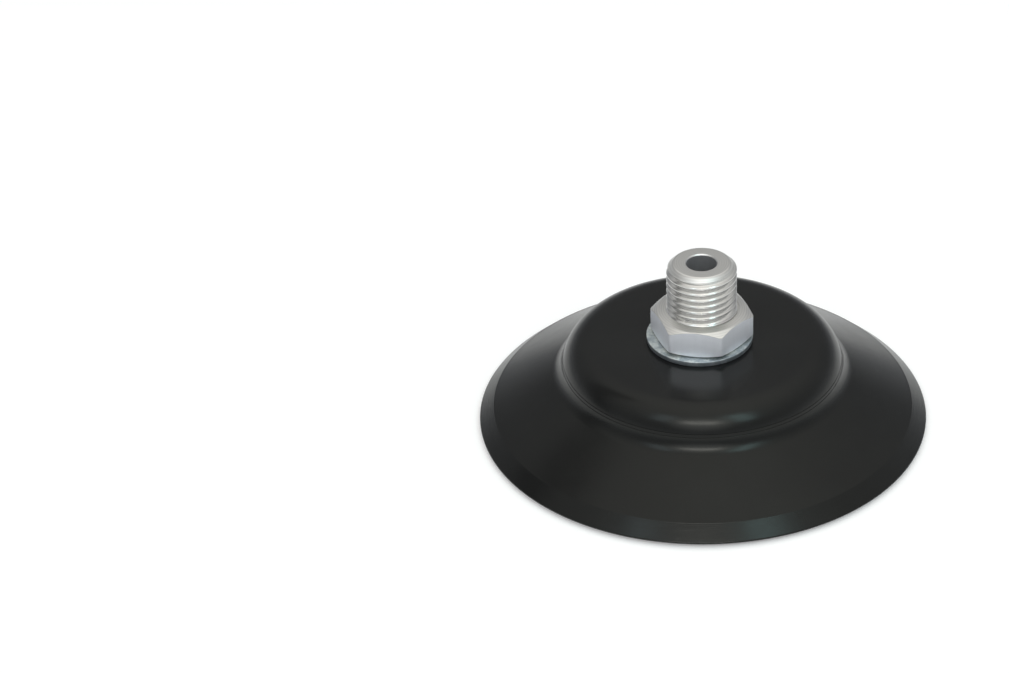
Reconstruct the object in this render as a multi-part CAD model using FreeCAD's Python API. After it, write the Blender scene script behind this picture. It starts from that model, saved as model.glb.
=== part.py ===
"""Flat vacuum cup: a moulded rubber cup clamped between a washer and a round nut on a threaded nipple.

Millimetres, +Z up. The origin is on the cup's axis, in the plane on which the lip stands.
"""
import FreeCAD
import Part
import math
import os

# Rubber cup: lip and skirt. Heights are above the plane of the lip.
cup_diameter = 85.0
lip_edge_height = 1.15
lip_contact_diameter = 82.1
lip_land = 0.4
lip_band_diameter = 79.4
lip_band_height = 3.6
lip_bevel_diameter = 78.9
lip_bevel_height = 1.5
skirt_slope_deg = 30.5

# Rubber cup: raised body
plateau_height = 17.65
plateau_diameter = 41.2
shoulder_radius = 6.0
skirt_fillet_radius = 4.0

# Rubber cup: underside
base_height = 7.95
base_diameter = 56.6
cleat_height = 1.2
inner_cleat_diameter = 26.8
inner_cleat_width = 4.6
inner_cleat_corner_radius = 1.9
outer_cleat_diameter = 52.0
outer_cleat_corner_radius = 1.4
channel_width = 4.6
cleat_root_depth = 0.15
clamped_thickness = 3.5

# Threaded nipple, turned from hexagon bar. The thread is a parallel pipe thread at its major diameter.
thread_diameter = 13.157
thread_length = 10.2
thread_chamfer = 1.24
passage_diameter = 5.7
hexagon_width = 17.0
hexagon_height = 5.4
hexagon_turn_deg = -8.3
hexagon_top_diameter = 16.7
hexagon_top_chamfer_deg = 30.0
hexagon_seat_diameter = 16.2
hexagon_seat_chamfer_deg = 30.0
hexagon_blank_margin = 0.2
stub_diameter = 9.728
stub_length = 7.9
stub_chamfer = 0.6

# Washer between the hexagon and the rubber, pushed to one side of the stub
washer_diameter = 20.0
washer_thickness = 1.0
washer_edge_chamfer = 0.2
washer_side_play = 0.45
washer_share_of_play = 0.9

# Round nut inside the cup
nut_diameter = 14.4
nut_height = 4.4
nut_face_drop = 0.45
nut_mouth_diameter = 10.7
nut_mouth_depth = 0.55

# Fits
thread_clearance = 0.05
stub_clearance = 0.1
nut_clearance = 0.1

# Levels along the axis
clamp_level = plateau_height - clamped_thickness
seat_level = plateau_height + washer_thickness
thread_level = seat_level + hexagon_height
top_level = thread_level + thread_length
stub_end_level = seat_level - stub_length
nut_rim_level = clamp_level - nut_height
cleat_level = base_height - cleat_height

Z_AXIS = FreeCAD.Vector(0, 0, 1)
ORIGIN = FreeCAD.Vector(0, 0, 0)
UPRIGHT = 0.99


def at(radius, height):
    """Point of a turned section, drawn in the XZ plane."""
    return FreeCAD.Vector(radius, 0, height)


def line(start, end):
    return Part.LineSegment(start, end).toShape()


def arc(start, middle, end):
    return Part.Arc(start, middle, end).toShape()


def arc_about(centre, radius, start_deg, end_deg):
    """Arc of a section about a centre, between two directions measured from outwards to up."""
    turns = [math.radians(a) for a in (start_deg, (start_deg + end_deg) / 2, end_deg)]
    points = [centre + at(radius * math.cos(t), radius * math.sin(t)) for t in turns]
    return arc(*points)


def chain(points):
    return [line(a, b) for a, b in zip(points, points[1:])]


def turned(edges):
    """Solid of revolution of a closed section."""
    face = Part.Face(Part.Wire(edges))
    return face.revolve(ORIGIN, Z_AXIS, 360)


def skirt_height(radius):
    """Height of the skirt's outside at a radius."""
    slope = math.tan(math.radians(skirt_slope_deg))
    return lip_band_height + slope * (lip_band_diameter / 2 - radius)


def fillet_centre(shoulder_centre):
    """Centre of the fillet that touches the skirt and runs on from the shoulder's arc."""
    slope = math.tan(math.radians(skirt_slope_deg))
    rise = skirt_fillet_radius / math.cos(math.radians(skirt_slope_deg))
    offset = skirt_height(shoulder_centre.x) + rise - shoulder_centre.z
    reach = shoulder_radius + skirt_fillet_radius
    # The centre lies on the raised skirt line at the reach from the shoulder's centre.
    a = 1 + slope ** 2
    half_b = -slope * offset
    c = offset ** 2 - reach ** 2
    across = (-half_b + math.sqrt(half_b ** 2 - a * c)) / a
    return shoulder_centre + at(across, offset - slope * across)


def cup_section():
    """Section of the cup from the stub's hole over the plateau, down the skirt and back under the hollow."""
    hole = stub_diameter / 2 + stub_clearance
    pocket = nut_diameter / 2 + nut_clearance
    shoulder = at(plateau_diameter / 2, plateau_height - shoulder_radius)
    fillet = fillet_centre(shoulder)
    lean = math.degrees(math.atan2(fillet.z - shoulder.z, fillet.x - shoulder.x))
    shoulder_arc = arc_about(shoulder, shoulder_radius, 90, lean)
    fillet_arc = arc_about(fillet, skirt_fillet_radius, 180 + lean, 270 - skirt_slope_deg)
    outside = [
        fillet_arc.Vertexes[-1].Point,
        at(lip_band_diameter / 2, lip_band_height),
        at(cup_diameter / 2, lip_edge_height),
        at(lip_contact_diameter / 2 + lip_land / 2, 0),
        at(lip_contact_diameter / 2 - lip_land / 2, 0),
        at(lip_bevel_diameter / 2, lip_bevel_height),
        at(base_diameter / 2, base_height),
        at(pocket, base_height),
        at(pocket, clamp_level),
        at(hole, clamp_level),
        at(hole, plateau_height),
        at(plateau_diameter / 2, plateau_height),
    ]
    return [shoulder_arc, fillet_arc] + chain(outside)


def ring(inner_radius, outer_radius, low, high):
    outer = Part.makeCylinder(outer_radius, high - low, at(0, low), Z_AXIS)
    inner = Part.makeCylinder(inner_radius, high - low, at(0, low), Z_AXIS)
    return outer.cut(inner)


def channels(reach, low, high):
    """Two crossing channels that part a ring into four arcs."""
    size = (2 * reach, channel_width, high - low)
    bar = Part.makeBox(*size, FreeCAD.Vector(-reach, -channel_width / 2, low), Z_AXIS)
    cross = []
    for turn in (45, 135):
        copy = bar.copy()
        copy.rotate(ORIGIN, Z_AXIS, turn)
        cross.append(copy)
    return cross[0].fuse(cross[1])


def wall_radius(height):
    """Radius of the hollow's sloping wall at a height."""
    run = (lip_bevel_diameter - base_diameter) / 2
    return base_diameter / 2 + run * (base_height - height) / (base_height - lip_bevel_height)


def is_free_corner(edge):
    """True for an upright edge that stands clear of the sloping wall."""
    upright = abs(edge.tangentAt(edge.FirstParameter).z) > UPRIGHT
    centre = edge.CenterOfMass
    return upright and math.hypot(centre.x, centre.y) < wall_radius(cleat_level)


def arc_cleats(inner_radius, outer_radius, corner_radius):
    """Four raised arcs on the underside, with round corners."""
    top = base_height + cleat_root_depth
    arcs = ring(inner_radius, outer_radius, cleat_level, top)
    arcs = arcs.cut(channels(cup_diameter, cleat_level, top))
    return [s.makeFillet(corner_radius, [e for e in s.Edges if is_free_corner(e)]) for s in arcs.Solids]


def make_rubber_cup():
    inner = inner_cleat_diameter / 2
    # The outer arcs run into the sloping wall, so that their own outer face is buried in it.
    buried = wall_radius(cleat_level) + cleat_root_depth
    cleats = arc_cleats(inner, inner + inner_cleat_width, inner_cleat_corner_radius)
    cleats += arc_cleats(outer_cleat_diameter / 2, buried, outer_cleat_corner_radius)
    cup = turned(cup_section()).multiFuse(cleats).removeSplitter()
    return cup.Solids[0]


def hexagon_corner():
    return hexagon_width / 2 / math.cos(math.radians(30))


def hexagon_bar(low, high):
    points = []
    for side in range(7):
        turn = math.radians(hexagon_turn_deg - 90 + 30 + 60 * side)
        points.append(FreeCAD.Vector(math.cos(turn), math.sin(turn), 0) * hexagon_corner() + at(0, low))
    return Part.Face(Part.makePolygon(points)).extrude(Z_AXIS * (high - low))


def make_threaded_nipple():
    """Section turned from hexagon bar; the bar's flats stay where the section is widest."""
    thread = thread_diameter / 2
    stub = stub_diameter / 2
    passage = passage_diameter / 2
    top_edge = hexagon_top_diameter / 2
    seat_edge = hexagon_seat_diameter / 2
    blank = hexagon_corner() + hexagon_blank_margin
    top_fall = (blank - top_edge) * math.tan(math.radians(hexagon_top_chamfer_deg))
    seat_rise = (blank - seat_edge) * math.tan(math.radians(hexagon_seat_chamfer_deg))
    section = [
        at(passage, top_level),
        at(thread - thread_chamfer, top_level),
        at(thread, top_level - thread_chamfer),
        at(thread, thread_level),
        at(top_edge, thread_level),
        at(blank, thread_level - top_fall),
        at(blank, seat_level + seat_rise),
        at(seat_edge, seat_level),
        at(stub, seat_level),
        at(stub, stub_end_level + stub_chamfer),
        at(stub - stub_chamfer, stub_end_level),
        at(passage, stub_end_level),
        at(passage, top_level),
    ]
    return turned(chain(section)).common(hexagon_bar(stub_end_level, top_level)).Solids[0]


def make_washer():
    hole = stub_diameter / 2 + washer_side_play
    rim = washer_diameter / 2
    section = [
        at(rim, seat_level - washer_edge_chamfer),
        at(rim, plateau_height),
        at(hole, plateau_height),
        at(hole, seat_level),
        at(rim - washer_edge_chamfer, seat_level),
        at(rim, seat_level - washer_edge_chamfer),
    ]
    washer = turned(chain(section))
    washer.translate(FreeCAD.Vector(-washer_side_play * washer_share_of_play, 0, 0))
    return washer


def make_clamp_nut():
    rim = nut_diameter / 2
    bore = stub_diameter / 2 + thread_clearance
    section = [
        at(bore, clamp_level),
        at(rim, clamp_level),
        at(rim, nut_rim_level + nut_face_drop),
        at(nut_mouth_diameter / 2, nut_rim_level),
        at(bore, nut_rim_level + nut_mouth_depth),
        at(bore, clamp_level),
    ]
    return turned(chain(section))


def main():
    os.makedirs("parts", exist_ok=True)
    pieces = {
        "rubber_cup": make_rubber_cup(),
        "threaded_nipple": make_threaded_nipple(),
        "washer": make_washer(),
        "clamp_nut": make_clamp_nut(),
    }
    for name, shape in pieces.items():
        shape.exportStep(f"parts/{name}.step")
        box = shape.BoundBox
        print(f"{name}: {shape.Volume:.0f} mm3, z {box.ZMin:.2f} to {box.ZMax:.2f}, valid {shape.isValid()}")


main()
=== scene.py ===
# %% [markdown]
# # A flat vacuum cup, modelled over its engineering frame
#
# The real object is four pieces: a moulded rubber cup, an aluminium nipple with a pipe thread, a plated
# steel washer and a round nut that clamps the rubber from inside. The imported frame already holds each
# of them at its true size and place. This lesson models each piece again with the detail that a camera
# sees close up, such as the thread, the mould lines and the softened edges, and gives it a finish.

# %% Load the frame
import math

import bmesh
import bpy
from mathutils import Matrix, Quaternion, Vector


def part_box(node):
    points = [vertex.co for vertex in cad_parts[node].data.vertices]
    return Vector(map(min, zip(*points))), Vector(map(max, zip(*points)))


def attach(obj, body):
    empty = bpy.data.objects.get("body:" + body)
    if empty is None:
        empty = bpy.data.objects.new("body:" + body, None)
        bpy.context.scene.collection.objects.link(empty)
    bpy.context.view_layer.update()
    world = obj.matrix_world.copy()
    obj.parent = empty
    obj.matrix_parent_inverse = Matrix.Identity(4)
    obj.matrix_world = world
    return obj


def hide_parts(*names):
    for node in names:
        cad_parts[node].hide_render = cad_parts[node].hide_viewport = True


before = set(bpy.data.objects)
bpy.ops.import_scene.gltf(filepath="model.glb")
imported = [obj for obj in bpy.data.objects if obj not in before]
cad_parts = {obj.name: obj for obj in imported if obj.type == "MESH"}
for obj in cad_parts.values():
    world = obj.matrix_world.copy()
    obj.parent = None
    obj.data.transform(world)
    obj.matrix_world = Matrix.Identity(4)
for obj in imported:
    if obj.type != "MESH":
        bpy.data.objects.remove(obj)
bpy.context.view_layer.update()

# %% [markdown]
# Blender works in metres and a workshop drawing in millimetres, so sections are written in millimetres
# and turned into metres at the moment a point is drawn. The main levels are read from the frame instead
# of being typed again: where the plateau lies, where the washer ends, and how high the thread reaches.

# %% Sizes that the frame gives
MM = 0.001


def box_mm(node):
    low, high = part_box(node)
    return low / MM, high / MM


cup_high = box_mm("rubber_cup")[1]
nipple_low, nipple_high = box_mm("threaded_nipple")
washer_low, washer_high = box_mm("washer")
nut_low, nut_high = box_mm("clamp_nut")

cup_radius = cup_high.x
plateau_level = cup_high.z
seat_level = washer_high.z
top_level = nipple_high.z
stub_end_level = nipple_low.z
clamp_level = nut_high.z
nut_rim_level = nut_low.z
print(f"plateau {plateau_level:.2f}, hexagon seat {seat_level:.2f}, top {top_level:.2f} mm")

# %% [markdown]
# ## A pen for turned sections
#
# The washer and the nut are bodies of revolution, the nipple is one but for its hexagon, and the cup
# comes out of a turned mould. A body of revolution could be stacked up from cylinders and cones, but
# then every rounding needs a bevel of its own. Drawing the half section and spinning it once is what a
# lathe does, and it gives clean rings of quads. The pen starts as a plane that is merged to one vertex.
# Extruding that vertex draws a straight line, and spinning it about a point draws an arc.

# %% Pen
MERGE = 1e-7
ROUND_STEP_MM = 0.3
ROUND_STEP_DEG = 2
FEWEST_ARC_STEPS = 3


def at(radius, height):
    """A point of a section in the XZ plane, from millimetres."""
    return Vector((radius, 0, height)) * MM


def direction(degrees):
    """A unit vector in the XZ plane, measured from outwards to up."""
    return Vector((math.cos(math.radians(degrees)), 0, math.sin(math.radians(degrees))))


def begin_outline(name, point):
    """Makes a new object of one vertex, in edit mode with that vertex selected."""
    bpy.ops.object.select_all(action="DESELECT")
    bpy.ops.mesh.primitive_plane_add(size=MM)
    piece = bpy.context.object
    piece.name = piece.data.name = name
    bpy.ops.object.mode_set(mode="EDIT")
    bpy.ops.mesh.select_mode(type="VERT")
    bpy.ops.mesh.select_all(action="SELECT")
    bpy.ops.mesh.merge(type="CENTER")
    bpy.ops.transform.translate(value=point)
    return piece


def pen():
    """The place of the selected vertex."""
    points = bmesh.from_edit_mesh(bpy.context.object.data).verts
    return next(v.co.copy() for v in points if v.select)


def line_to(point):
    bpy.ops.mesh.extrude_region_move(TRANSFORM_OT_translate={"value": point - pen()})


def arc_about(centre, degrees, axis=(0, 1, 0)):
    """Draws an arc from the pen about a centre, anticlockwise if positive."""
    length = math.radians(abs(degrees)) * (pen() - centre).length / MM
    wanted = min(length / ROUND_STEP_MM, abs(degrees) / ROUND_STEP_DEG)
    steps = max(FEWEST_ARC_STEPS, math.ceil(wanted))
    bpy.ops.mesh.spin(steps=steps, angle=math.radians(degrees), center=centre, axis=axis)


def round_corner(corner, onward, radius):
    """Draws to a corner and round it, so that the pen heads for the next point."""
    back = (pen() - corner).normalized()
    ahead = (onward - corner).normalized()
    half = back.angle(ahead) / 2
    centre = corner + (back + ahead).normalized() * radius * MM / math.sin(half)
    turn = math.degrees(math.pi - 2 * half)
    line_to(corner + back * radius * MM / math.tan(half))
    arc_about(centre, math.copysign(turn, back.cross(ahead).y))


def follow(corners):
    """Draws along corners, each a radius, a height and its rounding, to the last one."""
    for here, onward in zip(corners, corners[1:]):
        round_corner(at(*here[:2]), at(*onward[:2]), here[2])
    line_to(at(*corners[-1][:2]))


print("pen ready")

# %% [markdown]
# ## Turning and joining
#
# Spin turns a drawn section into a solid. Its first and last rings lie on each other, so they are merged,
# and the faces are made to point outwards. What a lathe can't make, such as a hexagon, is joined or cut
# by the Boolean modifier. Its exact solver is slower than the others, but it copes better with faces that
# touch, and what it leaves in the same place is welded. A solid has no open edges, so they are counted.

# %% Turning and joining
def close_and_turn(steps):
    """Joins the section's ends, spins it once about the axis and closes the seam."""
    bpy.ops.mesh.select_all(action="SELECT")
    bpy.ops.mesh.remove_doubles(threshold=MERGE)
    bpy.ops.mesh.spin(steps=steps, angle=math.tau, center=(0, 0, 0), axis=(0, 0, 1))
    bpy.ops.mesh.select_all(action="SELECT")
    bpy.ops.mesh.remove_doubles(threshold=MERGE)
    bpy.ops.mesh.normals_make_consistent(inside=False)
    bpy.ops.object.mode_set(mode="OBJECT")


def only(piece):
    bpy.ops.object.select_all(action="DESELECT")
    piece.select_set(True)
    bpy.context.view_layer.objects.active = piece


def combine(piece, tool, operation):
    """Unites, intersects or cuts a piece with a tool, which is used up."""
    cut = piece.modifiers.new("combine", "BOOLEAN")
    cut.operation = operation
    cut.solver = "EXACT"
    cut.object = tool
    only(piece)
    bpy.ops.object.modifier_apply(modifier=cut.name)
    bpy.data.objects.remove(tool)


def weld(piece):
    """Merges the vertices that a Boolean left in the same place."""
    only(piece)
    bpy.ops.object.mode_set(mode="EDIT")
    bpy.ops.mesh.select_all(action="SELECT")
    bpy.ops.mesh.remove_doubles(threshold=MERGE)
    bpy.ops.object.mode_set(mode="OBJECT")


def shift(piece, offset):
    """Moves a piece's mesh, and leaves its object at the origin."""
    only(piece)
    bpy.ops.object.mode_set(mode="EDIT")
    bpy.ops.mesh.select_all(action="SELECT")
    bpy.ops.transform.translate(value=offset)
    bpy.ops.object.mode_set(mode="OBJECT")


def describe(piece):
    mesh = bmesh.new()
    mesh.from_mesh(piece.data)
    triangles = sum(len(f.verts) - 2 for f in mesh.faces)
    unclosed = sum(1 for e in mesh.edges if len(e.link_faces) != 2)
    volume = mesh.calc_volume() / MM ** 3
    mesh.free()
    print(f"{piece.name}: {triangles} triangles, {unclosed} open edges, {volume:.0f} mm3")


print("tools ready")

# %% [markdown]
# ## The rubber cup
#
# The cup is one moulding: a flat plateau that carries the washer, a round shoulder, a short wall and a
# thin conical skirt that ends in a bevelled lip. Two fine lines run round the wall where the halves of
# the mould met. They are cut into the section as shallow grooves, because a bump would vanish in
# profile. The shoulder's arc runs straight on into the fillet above the skirt, so the fillet's centre
# is worked out from the two things that it touches. A low bead follows the corner where the skirt was
# trimmed to its lip. The lip's outer edge is soft. Rounding a corner pulls it inwards, so that corner is
# drawn a little too far out, and the rounded edge ends at the cup's true radius.

# %% Cup sizes
plateau_radius = 20.6
shoulder_rounding = 6.0
skirt_fillet = 4.0
skirt_slope_deg = 30.5
skirt_slope = math.tan(math.radians(skirt_slope_deg))
lip_band_radius = 39.7
lip_band_level = 3.6
lip_edge_level = 1.08
lip_edge_rounding = 0.35
lip_edge_overshoot = 0.17
lip_edge_radius = cup_radius + lip_edge_overshoot
lip_contact_radius = 41.05
lip_land = 0.4
lip_land_rounding = 0.08
lip_bevel_radius = 39.45
lip_bevel_level = 1.5
lip_bevel_rounding = 0.3
lip_bead_height = 0.065
lip_bead_half_width = 0.22
base_radius = 28.3
base_level = 7.95
base_rounding = 1.0
pocket_radius = 7.3
pocket_mouth_rounding = 0.3
pocket_end_rounding = 0.2
stub_hole_radius = 4.96
stub_hole_rounding = 0.1
mould_lines_deg = (18.8, 12.9)
mould_line_depth = 0.07
mould_line_half_width_deg = 0.8
shoulder = at(plateau_radius, plateau_level - shoulder_rounding)
print(f"shoulder's centre {shoulder}")


# %% Cup section helpers
def skirt_level(radius):
    return lip_band_level + skirt_slope * (lip_band_radius - radius)


def fillet_centre():
    """The point that lies a fillet's radius off the skirt, and both radii from the shoulder's centre."""
    raised = skirt_level(plateau_radius) + skirt_fillet * math.hypot(1, skirt_slope)
    gap = raised - (plateau_level - shoulder_rounding)
    reach = shoulder_rounding + skirt_fillet
    steep = 1 + skirt_slope ** 2
    half = skirt_slope * gap
    across = (half + math.sqrt(half ** 2 - steep * (gap ** 2 - reach ** 2))) / steep
    return shoulder + at(across, gap - skirt_slope * across)


def on_shoulder(degrees, depth=0.0):
    return shoulder + direction(degrees) * (shoulder_rounding - depth) * MM


def draw_bead(corner, onward):
    """Draws a low bead over the corner between the pen's line and the line onward."""
    along = ((corner - pen()).normalized() + (onward - corner).normalized()).normalized()
    outwards = Vector((-along.z, 0, along.x))
    bead_radius = (lip_bead_half_width ** 2 + lip_bead_height ** 2) / (2 * lip_bead_height)
    half_turn = math.degrees(math.asin(lip_bead_half_width / bead_radius))
    line_to(corner - along * lip_bead_half_width * MM)
    arc_about(corner + outwards * (lip_bead_height - bead_radius) * MM, -2 * half_turn)


fillet = fillet_centre()
lean = math.degrees(math.atan2(fillet.z - shoulder.z, fillet.x - shoulder.x))
skirt_turn = 90 - skirt_slope_deg - lean
print(f"fillet's centre {fillet}, wall leaves the shoulder at {lean:.1f} degrees")

# %% Cup section
wide_steps = 192

cup = begin_outline("rubber_cup_moulding", at(stub_hole_radius, plateau_level))
line_to(at(plateau_radius, plateau_level))
turned_to = 90
for line_deg in mould_lines_deg:
    upper_edge = line_deg + mould_line_half_width_deg
    lower_edge = line_deg - mould_line_half_width_deg
    arc_about(shoulder, upper_edge - turned_to)
    line_to(on_shoulder(line_deg, mould_line_depth))
    line_to(on_shoulder(lower_edge))
    turned_to = lower_edge
line_to(on_shoulder(lean))
arc_about(fillet, skirt_turn)
draw_bead(at(lip_band_radius, lip_band_level), at(lip_edge_radius, lip_edge_level))
follow([
    (lip_edge_radius, lip_edge_level, lip_edge_rounding),
    (lip_contact_radius + lip_land / 2, 0, lip_land_rounding),
    (lip_contact_radius - lip_land / 2, 0, lip_land_rounding),
    (lip_bevel_radius, lip_bevel_level, lip_bevel_rounding),
    (base_radius, base_level, base_rounding),
    (pocket_radius, base_level, pocket_mouth_rounding),
    (pocket_radius, clamp_level, pocket_end_rounding),
    (stub_hole_radius, clamp_level, stub_hole_rounding),
    (stub_hole_radius, plateau_level, 0),
])
close_and_turn(wide_steps)
describe(cup)

# %% [markdown]
# ## The cleats inside the cup
#
# Eight low arcs stand on the cup's ceiling, so that a gripped sheet can't be sucked flat against it.
# Two channels that cross under 45 degrees part them. Half of one arc is drawn in plan, mirrored, filled
# and pulled down to a block, and its lower rim is bevelled. Spin with its duplicate option then sets
# out the other three. The eight blocks are united with the cup, because the real rubber has no seam.
# The outer arcs run into the hollow's sloping wall, so their outer corners are left square there.

# %% Cleat helpers
cleat_level = 6.75
cleat_root = 0.15
channel_half = 2.3
CHANNEL_DEG = 45
channel_along = Vector((1, 1, 0)).normalized()
channel_across = Vector((1, -1, 0)).normalized()
PLAN_AXIS = (0, 0, -1)
AXIS_POINT = Vector((0, 0, (base_level + cleat_root) * MM))


def beside_channel(across, reach):
    """The point at that distance from the channel's middle, and that reach from the axis."""
    along = math.sqrt(reach ** 2 - across ** 2)
    return AXIS_POINT + (channel_along * along + channel_across * across) * MM


def plan_deg(point):
    return math.degrees(math.atan2(point.y, point.x))


def draw_half_cleat(inner, outer, corner, outer_corner):
    """Draws half of an arc between two radii, in plan; without an outer corner it ends square."""
    first = beside_channel(channel_half + corner, inner + corner)
    arc_about(AXIS_POINT, plan_deg(first), PLAN_AXIS)
    arc_about(first, -CHANNEL_DEG - plan_deg(first), PLAN_AXIS)
    if outer_corner:
        last = beside_channel(channel_half + outer_corner, outer - outer_corner)
        line_to(last - channel_across * outer_corner * MM)
        arc_about(last, plan_deg(last) + CHANNEL_DEG - 180, PLAN_AXIS)
    else:
        last = beside_channel(channel_half, outer)
        line_to(last)
    arc_about(AXIS_POINT, -plan_deg(last), PLAN_AXIS)


def select_edges(chosen):
    """Selects the edges whose two ends fit the description, and nothing else."""
    bpy.ops.mesh.select_all(action="DESELECT")
    bpy.ops.mesh.select_mode(type="EDGE")
    mesh = bmesh.from_edit_mesh(bpy.context.object.data)
    for edge in mesh.edges:
        edge.select_set(chosen(edge.verts[0].co, edge.verts[1].co))
    bmesh.update_edit_mesh(bpy.context.object.data)


print(f"channels {2 * channel_half} mm wide")

# %% Cleats
cleat_rim_rounding = 0.3
BEVEL_SEGMENTS = 4
CLEAT_COPIES = 3
WIDE_MERGE = MERGE * 10
inner_cleat_radii = (13.4, 18.0)
inner_cleat_corner = 1.9
outer_cleat_radius = 26.0
outer_cleat_corner = 1.4
wall_bite = 0.5
wall_run = (lip_bevel_radius - base_radius) / (base_level - lip_bevel_level)
wall_at_cleats = base_radius + wall_run * (base_level - cleat_level)


def cleat_ring(name, inner, outer, corner, outer_corner):
    """Four arcs of rubber between two radii."""
    block = begin_outline(name, AXIS_POINT + at(inner, 0))
    draw_half_cleat(inner, outer, corner, outer_corner)
    bpy.ops.object.mode_set(mode="OBJECT")
    mirror = block.modifiers.new("mirror", "MIRROR")
    mirror.use_axis = (False, True, False)
    mirror.merge_threshold = WIDE_MERGE
    bpy.ops.object.modifier_apply(modifier=mirror.name)
    bpy.ops.object.mode_set(mode="EDIT")
    bpy.ops.mesh.select_all(action="SELECT")
    bpy.ops.mesh.remove_doubles(threshold=WIDE_MERGE)
    bpy.ops.mesh.edge_face_add()
    drop = (cleat_level - base_level - cleat_root) * MM
    bpy.ops.mesh.extrude_region_move(TRANSFORM_OT_translate={"value": (0, 0, drop)})
    select_edges(lambda a, b: max(a.z, b.z) < (cleat_level + cleat_rim_rounding / 2) * MM)
    bpy.ops.mesh.bevel(offset=cleat_rim_rounding * MM, segments=BEVEL_SEGMENTS, affect="EDGES")
    bpy.ops.mesh.select_all(action="SELECT")
    turn = math.radians(90 * CLEAT_COPIES)
    bpy.ops.mesh.spin(dupli=True, steps=CLEAT_COPIES, angle=turn, center=(0, 0, 0), axis=(0, 0, 1))
    bpy.ops.mesh.select_all(action="SELECT")
    bpy.ops.mesh.normals_make_consistent(inside=False)
    bpy.ops.object.mode_set(mode="OBJECT")
    describe(block)
    return block


inner_cleats = cleat_ring("inner_cleats", *inner_cleat_radii, inner_cleat_corner, inner_cleat_corner)
outer_reach = wall_at_cleats + wall_bite
outer_cleats = cleat_ring("outer_cleats", outer_cleat_radius, outer_reach, outer_cleat_corner, 0)
combine(cup, inner_cleats, "UNION")
combine(cup, outer_cleats, "UNION")
describe(cup)

# %% [markdown]
# ## Smooth where it is round, crisp where it is flat
#
# A spun section is made of flat facets. Smoothing by angle hides the facets and keeps true edges sharp.
# The limit lies just under 30 degrees, because the hollow's wall meets the cleats at that angle, and a
# smoothed crease would show as a dark smear there. Beside a small rounding, a large flat face would pick
# up a false gradient. The Weighted Normal modifier lets the larger face decide, so a plateau or a
# hexagon flat stays evenly lit.

# %% Shading
SHARP_DEG = 29


def smooth(piece):
    only(piece)
    bpy.ops.object.shade_smooth_by_angle(angle=math.radians(SHARP_DEG))
    even = piece.modifiers.new("even", "WEIGHTED_NORMAL")
    even.keep_sharp = True
    bpy.ops.object.modifier_apply(modifier=even.name)


smooth(cup)
print("cup smoothed")

# %% [markdown]
# ## A real thread
#
# A pipe thread has flanks of 55 degrees with rounded crests and roots. One tooth, exactly a pitch tall,
# is drawn with the pen. The Screw modifier winds it up, each turn starting where the last one ended, so
# merging doubles welds it to one skin. Bisect then cuts both ends flat and fills them. The result is a
# threaded bar that can be trimmed by a turned shape, as a chamfer trims the first turn on a lathe.

# %% Threaded bar
FLANK_DEG = 90 - 55 / 2
ROUNDING_PER_PITCH = 0.137329
DEPTH_PER_PITCH = 0.640327
thread_steps = 96


def draw_tooth(root_radius, major_radius, pitch, start):
    """Draws one tooth, from the bottom of a groove to the bottom of the next."""
    rounding = ROUNDING_PER_PITCH * pitch
    lower_root = at(root_radius + rounding, start)
    crest = at(major_radius - rounding, start + pitch / 2)
    upper_root = at(root_radius + rounding, start + pitch)
    arc_about(lower_root, -FLANK_DEG)
    line_to(crest + direction(-FLANK_DEG) * rounding * MM)
    arc_about(crest, 2 * FLANK_DEG)
    line_to(upper_root + direction(180 + FLANK_DEG) * rounding * MM)
    arc_about(upper_root, -FLANK_DEG)


def cut_flat(level, **side):
    bpy.ops.mesh.select_all(action="SELECT")
    plane = {"plane_co": at(0, level), "plane_no": (0, 0, 1)}
    bpy.ops.mesh.bisect(use_fill=True, threshold=MERGE, **plane, **side)


def threaded_bar(name, major_radius, pitch, low, high, front_root):
    """Right-handed bar between two levels, with the bottom of a groove at the given level in front."""
    root_radius = major_radius - DEPTH_PER_PITCH * pitch
    side_root = front_root + pitch / 4
    start = side_root - pitch * math.ceil((side_root - low) / pitch + 1)
    bar = begin_outline(name, at(root_radius, start))
    draw_tooth(root_radius, major_radius, pitch, start)
    bpy.ops.object.mode_set(mode="OBJECT")
    wind = bar.modifiers.new("wind", "SCREW")
    wind.axis = "Z"
    wind.screw_offset = pitch * MM
    wind.iterations = math.ceil((high - start) / pitch) + 1
    wind.steps = wind.render_steps = thread_steps
    bpy.ops.object.modifier_apply(modifier=wind.name)
    bpy.ops.object.mode_set(mode="EDIT")
    bpy.ops.mesh.select_all(action="SELECT")
    bpy.ops.mesh.remove_doubles(threshold=WIDE_MERGE)
    cut_flat(low, clear_inner=True)
    cut_flat(high, clear_outer=True)
    bpy.ops.mesh.select_all(action="SELECT")
    bpy.ops.mesh.normals_make_consistent(inside=False)
    bpy.ops.object.mode_set(mode="OBJECT")
    describe(bar)
    return bar


print(f"tooth ready, {DEPTH_PER_PITCH} of a pitch deep")

# %% [markdown]
# ## The nipple
#
# The nipple is turned from hexagon bar: a collar that keeps its flats, a threaded end above and a
# threaded stub below, drilled right through. It is made here in that order. The collar is a turned disc
# with chamfers, intersected with a six-sided bar, and that leaves the curved edges of a real hexagon.
# The top chamfer is steeper than the one at the seat, the bar's edges are a little rounded, and the top
# of the collar rises slightly towards the thread.

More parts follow.
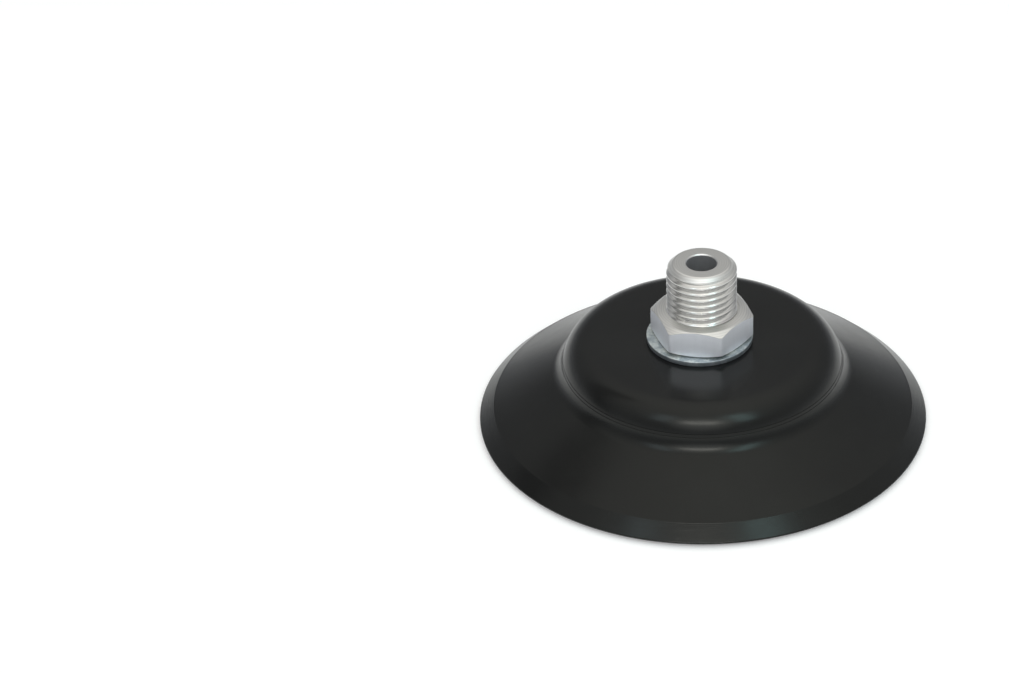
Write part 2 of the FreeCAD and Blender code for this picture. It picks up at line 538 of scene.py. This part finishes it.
# %% Nipple collar
hexagon_width = 17.0
hexagon_height = 5.4
hexagon_turn_deg = -8.3
hexagon_edge_break = 0.42
HALF_SIDE_DEG = 30
hexagon_corner = hexagon_width / 2 / math.cos(math.radians(HALF_SIDE_DEG))
blank_margin = 0.2
collar_blank = hexagon_corner + blank_margin
collar_top_radius = 8.35
collar_seat_radius = 8.1
collar_edge_rounding = 0.12
collar_cone_radius = 6.0
collar_rise = 0.42
collar_core = 2.4
hidden_rounding = 0.05
top_chamfer_deg = 30
seat_chamfer_deg = 23
top_chamfer_slope = math.tan(math.radians(top_chamfer_deg))
seat_chamfer_slope = math.tan(math.radians(seat_chamfer_deg))
top_fall = (collar_blank - collar_top_radius) * top_chamfer_slope
seat_rise = (collar_blank - collar_seat_radius) * seat_chamfer_slope
thread_level = seat_level + hexagon_height

nipple = begin_outline("threaded_nipple_turned", at(collar_core, seat_level))
follow([
    (collar_seat_radius, seat_level, collar_edge_rounding),
    (collar_blank, seat_level + seat_rise, hidden_rounding),
    (collar_blank, thread_level - top_fall, hidden_rounding),
    (collar_top_radius, thread_level, collar_edge_rounding),
    (collar_cone_radius, thread_level + collar_rise, hidden_rounding),
    (collar_core, thread_level + collar_rise, hidden_rounding),
    (collar_core, seat_level, 0),
])
close_and_turn(wide_steps)
describe(nipple)

# %% Hexagon
bpy.ops.object.select_all(action="DESELECT")
bpy.ops.mesh.primitive_cylinder_add(
    vertices=6,
    radius=hexagon_corner * MM,
    depth=3 * hexagon_height * MM,
    location=at(0, seat_level),
    rotation=(0, 0, math.radians(hexagon_turn_deg + HALF_SIDE_DEG)),
)
hexagon = bpy.context.object
bpy.ops.object.transform_apply(location=True, rotation=True, scale=True)
bpy.ops.object.mode_set(mode="EDIT")
select_edges(lambda a, b: abs(a.z - b.z) > hexagon_height * MM)
bpy.ops.mesh.bevel(offset=hexagon_edge_break * MM, segments=BEVEL_SEGMENTS, affect="EDGES")
bpy.ops.object.mode_set(mode="OBJECT")
combine(nipple, hexagon, "INTERSECT")
describe(nipple)

# %% [markdown]
# The two threads are bars that reach a little way into the collar. Each is trimmed by a turned shape
# that carries the chamfer of its free end. The trimming shape is a hair wider than the crests, so that
# it only touches the thread at the chamfer. Every shape has a small core hole of its own size, because
# a Boolean dislikes faces that coincide. The drill takes all the cores away.

# %% Upper thread
thread_radius = 13.157 / 2
thread_pitch = 1.337
thread_chamfer = 1.24
thread_core = 2.0
front_root_level = 33.2
top_rounding = 0.8
chamfer_rounding = 0.02
crest_room = 0.05
in_collar = 1.0
excess = 1
trim_foot = thread_level - 2 * in_collar

upper = threaded_bar(
    "upper",
    major_radius=thread_radius,
    pitch=thread_pitch,
    low=thread_level - in_collar,
    high=top_level + excess,
    front_root=front_root_level,
)
trim = begin_outline("trim", at(thread_core, trim_foot))
follow([
    (thread_radius + crest_room, trim_foot, hidden_rounding),
    (thread_radius + crest_room, top_level - thread_chamfer - crest_room, chamfer_rounding),
    (thread_radius - thread_chamfer, top_level, top_rounding),
    (thread_core, top_level, hidden_rounding),
    (thread_core, trim_foot, 0),
])
close_and_turn(thread_steps)
combine(upper, trim, "INTERSECT")
describe(upper)

# %% [markdown]
# A die can't cut right up to a shoulder. At the thread's foot the last groove fades out against a plain
# ring with a sloping top, so such a ring is turned and united with the thread.

# %% Thread's foot
foot_lift = 0.29
foot_level = thread_level + foot_lift
runout_room = 0.1
runout_radius = thread_radius + runout_room
runout_height = 0.25
runout_cap = 0.5
runout_bite = 1
runout_foot_rounding = 0.03
runout_rounding = 0.1
runout_core = 2.2
runout_low = thread_level - in_collar / 2
runout_top = foot_level + runout_height + runout_cap

runout = begin_outline("runout", at(runout_core, runout_low))
follow([
    (runout_radius, runout_low, hidden_rounding),
    (runout_radius, foot_level, runout_foot_rounding),
    (runout_radius - runout_height, foot_level + runout_height, runout_rounding),
    (thread_radius - runout_bite, runout_top, hidden_rounding),
    (runout_core, runout_top, hidden_rounding),
    (runout_core, runout_low, 0),
])
close_and_turn(thread_steps)
combine(upper, runout, "UNION")
describe(upper)

# %% Stub thread
stub_radius = 9.728 / 2
stub_pitch = 0.907
stub_front_root = 10.9
stub_chamfer = 0.6
stub_end_rounding = 0.08
stub_core = 1.6
stub_top = seat_level + 2 * in_collar

stub = threaded_bar(
    "stub",
    major_radius=stub_radius,
    pitch=stub_pitch,
    low=stub_end_level - excess,
    high=seat_level + in_collar,
    front_root=stub_front_root,
)
trim = begin_outline("trim", at(stub_core, stub_end_level))
follow([
    (stub_radius - stub_chamfer, stub_end_level, stub_end_rounding),
    (stub_radius + crest_room, stub_end_level + stub_chamfer + crest_room, chamfer_rounding),
    (stub_radius + crest_room, stub_top, hidden_rounding),
    (stub_core, stub_top, hidden_rounding),
    (stub_core, stub_end_level, 0),
])
close_and_turn(thread_steps)
combine(stub, trim, "INTERSECT")
describe(stub)

# %% [markdown]
# Two cuts are left. The drill opens the vacuum passage and breaks both its edges, so its section is a
# rod with a cone at each end. The other is a shallow relief in the collar, round the thread's foot. It
# shows as a crescent on one side of the thread only, so it is turned as a full ring, moved a little
# aside and cut before the thread is set in.

# %% Passage, relief and assembly
passage_radius = 2.85
passage_edge_break = 0.22
flare = passage_radius + passage_edge_break
relief_radius = 6.82
relief_depth = 0.25
relief_core = 1.8
relief_rounding = 0.05
relief_aside = Vector((0.2, 0.04, 0)) * MM
relief_low = foot_level - relief_depth
relief_top = foot_level + in_collar

drill = begin_outline("drill", at(0, stub_end_level - excess))
for point in (
    at(flare + excess, stub_end_level - excess),
    at(passage_radius, stub_end_level + passage_edge_break),
    at(passage_radius, top_level - passage_edge_break),
    at(flare + excess, top_level + excess),
    at(0, top_level + excess),
):
    line_to(point)
close_and_turn(thread_steps)

relief = begin_outline("relief", at(relief_core, relief_low))
follow([
    (relief_radius, relief_low, relief_rounding),
    (relief_radius, relief_top, relief_rounding),
    (relief_core, relief_top, relief_rounding),
    (relief_core, relief_low, 0),
])
close_and_turn(thread_steps)
shift(relief, relief_aside)

combine(nipple, relief, "DIFFERENCE")
combine(nipple, upper, "UNION")
combine(nipple, stub, "UNION")
combine(nipple, drill, "DIFFERENCE")
weld(nipple)
smooth(nipple)
describe(nipple)

# %% [markdown]
# ## The washer
#
# A plain washer is stamped from sheet and then tumbled and plated, so none of its edges stays sharp. It
# is a short section, turned like the rest. It sits a little to one side, as far as its hole lets it, and
# the frame gives that place.

# %% Washer
washer_centre = (washer_low.x + washer_high.x) / 2
washer_radius = (washer_high.x - washer_low.x) / 2
washer_hole = 5.314
washer_rim_rounding = 0.15
washer_hole_rounding = 0.2

washer = begin_outline("washer_plated", at(washer_hole, plateau_level))
follow([
    (washer_radius, plateau_level, washer_rim_rounding),
    (washer_radius, seat_level, washer_rim_rounding),
    (washer_hole, seat_level, washer_hole_rounding),
    (washer_hole, plateau_level, 0),
])
close_and_turn(wide_steps)
shift(washer, at(washer_centre, 0))
smooth(washer)
describe(washer)

# %% [markdown]
# ## The clamp nut
#
# The nut is a plain turned ring with a slightly conical face and a countersunk mouth, in which the first
# turns of its thread show. A threaded bar, a little larger than the stub, cuts that thread as a tap
# would. Both bars have the same pitch and start, so the stub's crests lie in the nut's grooves.

# %% Clamp nut
nut_radius = nut_high.x
nut_clamp_rounding = 0.3
nut_rim_rounding = 0.15
nut_face_drop = 0.45
nut_mouth_radius = 5.35
nut_mouth_depth = 0.95
nut_mouth_rounding = 0.08
nut_bore_radius = 4.4
nut_bore_rounding = 0.03
tap_room = 0.05

nut = begin_outline("clamp_nut_turned", at(nut_bore_radius, clamp_level))
follow([
    (nut_radius, clamp_level, nut_clamp_rounding),
    (nut_radius, nut_rim_level + nut_face_drop, nut_rim_rounding),
    (nut_mouth_radius, nut_rim_level, nut_mouth_rounding),
    (nut_bore_radius, nut_rim_level + nut_mouth_depth, nut_bore_rounding),
    (nut_bore_radius, clamp_level, 0),
])
close_and_turn(thread_steps)
tap = threaded_bar(
    "tap",
    major_radius=stub_radius + tap_room,
    pitch=stub_pitch,
    low=nut_rim_level - excess,
    high=clamp_level + excess,
    front_root=stub_front_root,
)
combine(nut, tap, "DIFFERENCE")
smooth(nut)
describe(nut)

# %% [markdown]
# ## A small language for finishes
#
# Shader nodes could be wired by hand in the editor. In a script it reads better to write the maths as
# maths. A Signal wraps a socket: adding or multiplying signals adds Math nodes, and its node method adds
# any other node. All finishes read Object coordinates, in metres, so a pattern keeps its true size.


# %% Signals
class Signal:
    """A socket of a material, whose sums and products are Math nodes."""

    def __init__(self, socket):
        self.socket = socket

    def node(self, kind, settings, inputs, output=0):
        """Adds a node: its type, its settings, then the values or links of its sockets."""
        tree = self.socket.id_data
        made = tree.nodes.new(kind)
        for name, value in settings.items():
            setattr(made, name, value)
        for key, value in inputs.items():
            if isinstance(value, Signal):
                tree.links.new(value.socket, made.inputs[key])
            else:
                made.inputs[key].default_value = value
        return Signal(made.outputs[output])

    def math(self, operation, *others):
        """Adds a Math node on this signal and the others."""
        return self.node("ShaderNodeMath", {"operation": operation}, dict(enumerate((self, *others))))

    def __add__(self, other):
        return self.math("ADD", other)

    def __sub__(self, other):
        return self.math("SUBTRACT", other)

    def __rsub__(self, other):
        return self * -1 + other

    def __mul__(self, other):
        return self.math("MULTIPLY", other)

    def __pow__(self, other):
        return self.math("POWER", other)

    __radd__ = __add__
    __rmul__ = __mul__

    def split(self):
        """The X, Y and Z of a place or direction, as three signals."""
        first = self.node("ShaderNodeSeparateXYZ", {}, {"Vector": self})
        return [Signal(socket) for socket in first.socket.node.outputs]

    def rise(self, low, high):
        """0 below low, 1 above high, and smooth between them; low may be the larger."""
        ends = {"Value": self, "From Min": low, "From Max": high}
        return self.node("ShaderNodeMapRange", {"interpolation_type": "SMOOTHSTEP"}, ends)

    def rise_mm(self, low, high):
        """The same between two values in millimetres, for a signal in metres."""
        return self.rise(low * MM, high * MM)

    def rings(self, pitch, wander=None):
        """Waves of that pitch in millimetres along a signal in metres, pushed to and fro by wander."""
        phase = self * (math.tau / (pitch * MM))
        if wander is not None:
            phase = phase + wander
        return phase.math("SINE")

    def noise(self, scale, detail, stretch=(1, 1, 1)):
        """Soft noise around 0.5 over a place, with so many lumps a metre."""
        place = self.node("ShaderNodeMapping", {}, {"Vector": self, "Scale": stretch})
        return place.node("ShaderNodeTexNoise", {}, {"Vector": place, "Scale": scale, "Detail": detail})

    def mix(self, first, second):
        """Colour that goes from the first to the second as this signal goes from 0 to 1."""
        ends = {0: self, 6: first, 7: second}
        return self.node("ShaderNodeMix", {"data_type": "RGBA"}, ends, output=2)

    def bump(self, distance, strength):
        """Normal for a surface that this signal raises by a distance in metres."""
        ends = {"Height": self, "Distance": distance, "Strength": strength}
        return self.node("ShaderNodeBump", {}, ends)


print("signals ready")


# %% Materials
def new_finish(name, **constants):
    """A material with those constants on its shader, and the place on the piece."""
    material = bpy.data.materials.new(name)
    material.use_nodes = True
    shader = material.node_tree.nodes["Principled BSDF"]
    for socket, value in constants.items():
        shader.inputs[socket.replace("_", " ")].default_value = value
    place = material.node_tree.nodes.new("ShaderNodeTexCoord").outputs["Object"]
    return material, Signal(place)


def connect(material, **signals):
    """Links signals to the shader's sockets of the same names."""
    shader = material.node_tree.nodes["Principled BSDF"]
    for name, signal in signals.items():
        material.node_tree.links.new(signal.socket, shader.inputs[name.replace("_", " ")])
    print(material.name, len(material.node_tree.nodes), "nodes")


def radius_and_height(place):
    """The distance from the axis, and the height, of each point, in metres."""
    x, y, height = place.split()
    return (x * x + y * y) ** 0.5, height


print("materials ready")

# %% [markdown]
# ## Black rubber
#
# Moulded rubber is a near-black grey with a satin skin. What tells it from black plastic is unevenness:
# faint bloom that greys it in patches, fine grain from the mould's own surface, and a gloss that changes
# over a few millimetres. Very fine rings follow the turning marks of the mould, and the lip has fine
# lines round it, where it was trimmed.

# %% Rubber finish
mould_ring_pitch = 0.55
rubber_roughness = 0.17
trim_band = (lip_band_radius + 0.1, lip_band_radius + 0.3)
rubber_grain_height = 0.008 * MM
rubber_tint = (0.97, 1.0, 0.94, 1)
fresh = (0.0046, 0.0046, 0.0048, 1)
bloomed = (0.0074, 0.0075, 0.0074, 1)
dusty = (0.0160, 0.0155, 0.0150, 1)

rubber, place = new_finish("black_rubber", Specular_IOR_Level=0.25, Specular_Tint=rubber_tint)
radius = radius_and_height(place)[0]
bloom = place.noise(scale=70, detail=4).rise(0.35, 0.75)
patches = place.noise(scale=320, detail=3)
grain = place.noise(scale=2600, detail=2)
dust = place.noise(scale=5200, detail=1).rise(0.70, 0.80)
mould_rings = radius.rings(mould_ring_pitch)
trim_lines = place.noise(scale=9000, detail=2, stretch=(0.02, 0.02, 1)) * radius.rise_mm(*trim_band)
tone = bloom * 0.7 + patches * 0.3
skin = grain + patches * 0.6 + mould_rings * 0.05 + trim_lines * 5.0
connect(
    rubber,
    Base_Color=(dust * 0.5).mix(tone.mix(fresh, bloomed), dusty),
    Roughness=rubber_roughness + patches * 0.07 + bloom * 0.04 + grain * 0.03,
    Normal=skin.bump(rubber_grain_height, 0.4),
)

# %% [markdown]
# ## Turned aluminium
#
# One bar gives four surfaces. The flats of the hexagon keep the drawn skin of the bar, bluish and with
# streaks along it. The chamfers, the collar and the top face show the tool's rings. The thread is
# glossier than they are. The thread and its top chamfer are painted darker, painted shade that tones
# down their highlights, and the bottoms of the grooves are painted darker still, as painted shade. The
# drilled passage is painted dark, as painted shade. Masks made from the radius and height part the four.

# %% Nipple masks
edge_blend = 0.08 * MM
flat_band = (8.2, 8.4)
foot_band = (thread_level, thread_level + 0.1)
top_face_band = (5.25, 5.45)
crest_band = (6.7, 6.6)
chamfer_band = (top_level - 1.1, top_level - 1.4)
groove_band = (6.25, 5.80)
passage_band = (passage_radius + 0.06, passage_radius + 0.01)

aluminium, place = new_finish("turned_aluminium")
radius, height = radius_and_height(place)
chamfer_fall = (radius - collar_top_radius * MM) * top_chamfer_slope
seat_climb = (radius - collar_seat_radius * MM) * seat_chamfer_slope
below_chamfer = (thread_level * MM - chamfer_fall - height).rise(0, edge_blend)
above_seat = (height - seat_level * MM - seat_climb).rise(0, edge_blend)
flats = below_chamfer * above_seat * radius.rise_mm(*flat_band)
above_collar = height.rise_mm(*foot_band)
threaded = above_collar * radius.rise_mm(*top_face_band) * radius.rise_mm(*crest_band)
full_thread = height.rise_mm(*chamfer_band)
groove = radius.rise_mm(*groove_band) * threaded * full_thread
in_passage = radius.rise_mm(*passage_band)
print("masks ready")

# %% Nipple finish
tool_ring_pitch = 0.42
turned_roughness = 0.36
metal_grain_height = 0.008 * MM
drawn = (0.88, 0.90, 0.945, 1)
drawn_dull = (0.79, 0.815, 0.86, 1)
turned = (0.77, 0.765, 0.735, 1)
# The darker turned tone serves worn patches, and also painted shade that darkens the thread and top
# chamfer to tone down their highlights.
turned_dull_and_dimmed = (0.59, 0.585, 0.565, 1)
# Painted shade in the bottoms of the thread's grooves.
painted_groove_shade = (0.46, 0.455, 0.44, 1)
# Painted shade inside the drilled passage.
painted_passage_shade = (0.36, 0.365, 0.375, 1)

drawn_streaks = place.noise(scale=1500, detail=4, stretch=(1, 1, 0.04))
tool_lines = place.noise(scale=7000, detail=2, stretch=(0.05, 0.05, 1))
blotches = place.noise(scale=260, detail=4)
pits = place.noise(scale=3200, detail=2).rise(0.62, 0.75)
tool_rings = radius.rings(tool_ring_pitch, blotches * 3.0)
flat_colour = (drawn_streaks * 0.7 + pits * 0.3).mix(drawn, drawn_dull)
# Random wear, plus painted shade on the thread and its top chamfer (the threaded * 0.27 term).
wear_and_thread_dimming = 0.28 + blotches * 0.4 + tool_lines * 0.2 + tool_rings * 0.25 + threaded * 0.27
turned_colour = wear_and_thread_dimming.mix(turned, turned_dull_and_dimmed)
# Mixes the painted groove shade into the metal's colour.
colour_with_groove_shade = (groove * 0.2).mix(flats.mix(turned_colour, flat_colour), painted_groove_shade)
flat_skin = drawn_streaks * flats * 0.8 - pits * flats * 0.4
turned_skin = (tool_rings * 0.6 + tool_lines * 0.8) * (1 - flats)
thread_gloss = threaded * (0.06 - full_thread * 0.25)
connect(
    aluminium,
    Base_Color=in_passage.mix(colour_with_groove_shade, painted_passage_shade),
    Metallic=1 - flats * 0.30 - in_passage * 0.30,
    Roughness=turned_roughness + flats * 0.09 + in_passage * 0.06 + thread_gloss + blotches * 0.06,
    Normal=(flat_skin + turned_skin).bump(metal_grain_height, 0.5),
)

# %% [markdown]
# ## Zinc plate
#
# The washer is steel under a thin coat of zinc. It is bluer and duller than the aluminium, and cloudy
# from one crystal to the next. Its rim is painted darker, as painted shade.

# %% Washer finish
rim_band = (seat_level - 0.05, seat_level - 0.25)
crystal_height = 0.12 * MM
zinc_roughness = 0.46
bluish = (0.26, 0.31, 0.34, 1)
greenish = (0.62, 0.66, 0.64, 1)
# Painted shade on the washer's rim, in two tones that follow the clouds.
painted_rim_shade = (0.17, 0.19, 0.205, 1)
painted_rim_shade_pale = (0.26, 0.28, 0.30, 1)

zinc, place = new_finish("zinc_plate", Metallic=0.75)
rim = radius_and_height(place)[1].rise_mm(*rim_band)
clouds = place.noise(scale=560, detail=4)
crystals = place.noise(scale=2200, detail=3)
spots = clouds.rise(0.38, 0.62) * 0.7 + crystals.rise(0.35, 0.65) * 0.3
connect(
    zinc,
    Base_Color=rim.mix(spots.mix(bluish, greenish), spots.mix(painted_rim_shade, painted_rim_shade_pale)),
    Roughness=zinc_roughness + clouds * 0.12,
    Normal=(clouds + crystals * 0.4).bump(crystal_height, 0.7),
)

# %% [markdown]
# ## The nut's tool-marked face
#
# Nobody sees the nut in use, so its face was left as the tool left it: coarse rings with a chatter that
# runs across them. Rings come from a sine of the radius, and noise pushes their phase to and fro.

# %% Nut finish
nut_ring_pitch = 0.24
nut_roughness = 0.34
nut_mark_height = 0.03 * MM
bore_band = (5.2, 4.8)
pale = (0.74, 0.735, 0.71, 1)
dull = (0.50, 0.49, 0.475, 1)

rough_turned, place = new_finish("rough_turned_aluminium", Metallic=1.0)
radius = radius_and_height(place)[0]
chatter = place.noise(scale=1400, detail=3)
nut_rings = radius.rings(nut_ring_pitch, place.noise(scale=500, detail=3) * 6.0)
on_face = 1 - radius.rise_mm(*bore_band)
connect(
    rough_turned,
    Base_Color=(chatter * 0.7).mix(pale, dull),
    Roughness=nut_roughness + chatter * 0.16,
    Normal=((nut_rings * 0.5 + chatter) * on_face).bump(nut_mark_height, 0.6),
)

# %% [markdown]
# ## Each piece takes its place
#
# The four pieces stand for the four nodes of the frame, which are hidden, ride on its one body and take
# their finishes.

# %% Hand the pieces to the frame
for piece, node, slot, finish in (
    (cup, "rubber_cup", "cup_rubber", rubber),
    (nipple, "threaded_nipple", "nipple_aluminium", aluminium),
    (washer, "washer", "washer_steel", zinc),
    (nut, "clamp_nut", "nut_aluminium", rough_turned),
):
    piece.data.materials.clear()
    piece.data.materials.append(finish)
    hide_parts(node)
    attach(piece, "root")

# %% [markdown]
# ## Floor
#
# The cup stands on a plain white table. A camera would see that table as slightly grey, so the floor
# adds a little light of its own for camera, mirror and glass rays alone. It lights nothing else, and the
# shadow under the lip stays.

# %% Floor
floor_size = 6.0
floor_lift = 0.22
floor_white = (0.82, 0.82, 0.82, 1)

bpy.ops.object.select_all(action="DESELECT")
bpy.ops.mesh.primitive_plane_add(size=floor_size)
floor = bpy.context.object
floor.name = "floor"
paper = bpy.data.materials.new("white_paper")
paper.use_nodes = True
paper_shader = paper.node_tree.nodes["Principled BSDF"]
paper_shader.inputs["Base Color"].default_value = floor_white
paper_shader.inputs["Roughness"].default_value = 1.0
paper_shader.inputs["Specular IOR Level"].default_value = 0.0
paper_shader.inputs["Emission Color"].default_value = (1, 1, 1, 1)
rays = paper.node_tree.nodes.new("ShaderNodeLightPath").outputs
seen = Signal(rays["Is Camera Ray"])
for ray in ("Is Glossy Ray", "Is Transmission Ray"):
    seen = seen + Signal(rays[ray])
paper.node_tree.links.new((seen * floor_lift).socket, paper_shader.inputs["Emission Strength"])
floor.data.materials.append(paper)
print("floor", floor_size, "m")

# %% [markdown]
# ## Lamps
#
# Three softboxes stand before the cup, somewhat above the camera. The wide one in the middle gives the
# bright lines on the rubber's shoulder and fillet, and the two tall ones at the sides model the metal.
# The side lamps are cooler, which gives the highlights their bluish ends.

# %% Softboxes
light_target = Vector((0, 0, 15 * MM))
lamp_distance = 0.9


def softbox(name, azimuth, elevation, size, power, colour):
    """Area lamp that looks at the cup; azimuth 0 is in front, positive to the right."""
    a, e = math.radians(azimuth), math.radians(elevation)
    away = Vector((math.sin(a) * math.cos(e), -math.cos(a) * math.cos(e), math.sin(e)))
    bpy.ops.object.light_add(type="AREA", location=light_target + away * lamp_distance)
    lamp = bpy.context.object
    lamp.name = name
    lamp.rotation_euler = away.to_track_quat("Z", "Y").to_euler()
    lamp.data.shape = "RECTANGLE"
    lamp.data.size, lamp.data.size_y = size
    lamp.data.energy = power
    lamp.data.color = colour


softbox("key", azimuth=-1, elevation=44, size=(0.38, 0.16), power=1.00, colour=(1.0, 0.97, 0.95))
softbox("left", azimuth=-38, elevation=48, size=(0.16, 0.36), power=0.32, colour=(0.70, 0.88, 1.0))
softbox("right", azimuth=39, elevation=49, size=(0.16, 0.42), power=0.80, colour=(0.62, 0.95, 1.0))

# %% [markdown]
# ## Room
#
# Glossy pieces show the room as well as the lamps, so the world is a plain studio in soft gradients. It
# is bright overhead, dim behind, with a pale band along the horizon and a halo round the lamps in front.
# A tall dark panel leans at the left, and keeps a stripe of the skirt black.

# %% Room
zenith_level = 1.30
zenith_power = 3
side_level = 0.47
rear_level = 0.24
rear_band = (0.3, 0.95)
right_gain = 0.02
low_glow = 0.25
glow_band = (0.32, 0.08)
halo_level = 1.2
halo_elevation = math.radians(40)
halo_way = (0, -math.cos(halo_elevation), math.sin(halo_elevation))
halo_band = (math.cos(math.radians(28)), math.cos(math.radians(6)))
panel_turn = math.radians(-80)
panel_lean = math.radians(-41)
panel_half_width = math.radians(17)
panel_top_band = (0.91, 0.86)
panel_shade = 0.64
cool = (0.95, 0.99, 1.05, 1)
warm = (1.02, 1.00, 0.96, 1)

room = bpy.data.worlds.new("room")
bpy.context.scene.world = room
room.use_nodes = True
tree = room.node_tree
background = tree.nodes["Background"]
around = Signal(tree.nodes.new("ShaderNodeTexCoord").outputs["Generated"])
right, rear, above = around.split()
up = above.math("MAXIMUM", 0.0)
horizon = side_level + rear.rise(*rear_band) * (rear_level - side_level) + right * right_gain
near_horizon = up.rise(*glow_band) * low_glow
dot = {"operation": "DOT_PRODUCT"}
near_halo = around.node("ShaderNodeVectorMath", dot, {0: around, 1: halo_way}, output=1)
halo = near_halo.rise(*halo_band) * halo_level
turn = right.math("ARCTAN2", rear * -1)
beside_panel = (turn - panel_turn - up * panel_lean).math("ABSOLUTE")
panel = beside_panel.rise(panel_half_width, panel_half_width / 3) * up.rise(*panel_top_band)
open_level = horizon + (zenith_level - horizon) * up ** zenith_power + near_horizon + halo
level = open_level * (1 - panel * panel_shade)
tree.links.new(level.socket, background.inputs["Strength"])
tree.links.new(up.mix(cool, warm).socket, background.inputs["Color"])
print("room", len(tree.nodes), "nodes")

# %% [markdown]
# ## Camera
#
# The camera looks from the front, a third of the way up to straight above, at a distance of 60
# centimetres. The cup isn't in the middle of the picture, so the camera is aimed past it, by the angle
# that brings the cup's middle to its place in the frame.

# %% Camera
image_width, image_height = 1009, 673
cup_pixel = Vector((701.8, 344.2))
camera_distance = 0.6
camera_elevation = math.radians(33.26)
camera_target = Vector((0, 0, 16.15 * MM))
camera_roll = math.radians(-0.22)
focal_pixels = 3178.0

camera_data = bpy.data.cameras.new("camera")
camera = bpy.data.objects.new("camera", camera_data)
bpy.context.scene.collection.objects.link(camera)
camera_data.sensor_width = 36.0
camera_data.lens = focal_pixels * camera_data.sensor_width / image_width
view = Vector((0, math.cos(camera_elevation), -math.sin(camera_elevation)))
camera.location = camera_target - view * camera_distance
seen_at = Vector((cup_pixel.x - image_width / 2, image_height / 2 - cup_pixel.y, -focal_pixels))
aside = seen_at.rotation_difference(Vector((0, 0, -1)))
roll = Quaternion((0, 0, 1), camera_roll)
camera.rotation_mode = "QUATERNION"
camera.rotation_quaternion = view.to_track_quat("-Z", "Y") @ roll @ aside
camera_data.clip_start = 0.01
camera_data.clip_end = 20
bpy.context.scene.camera = camera
bpy.context.scene.view_settings.view_transform = "Standard"
print(f"lens {camera_data.lens:.1f} mm")
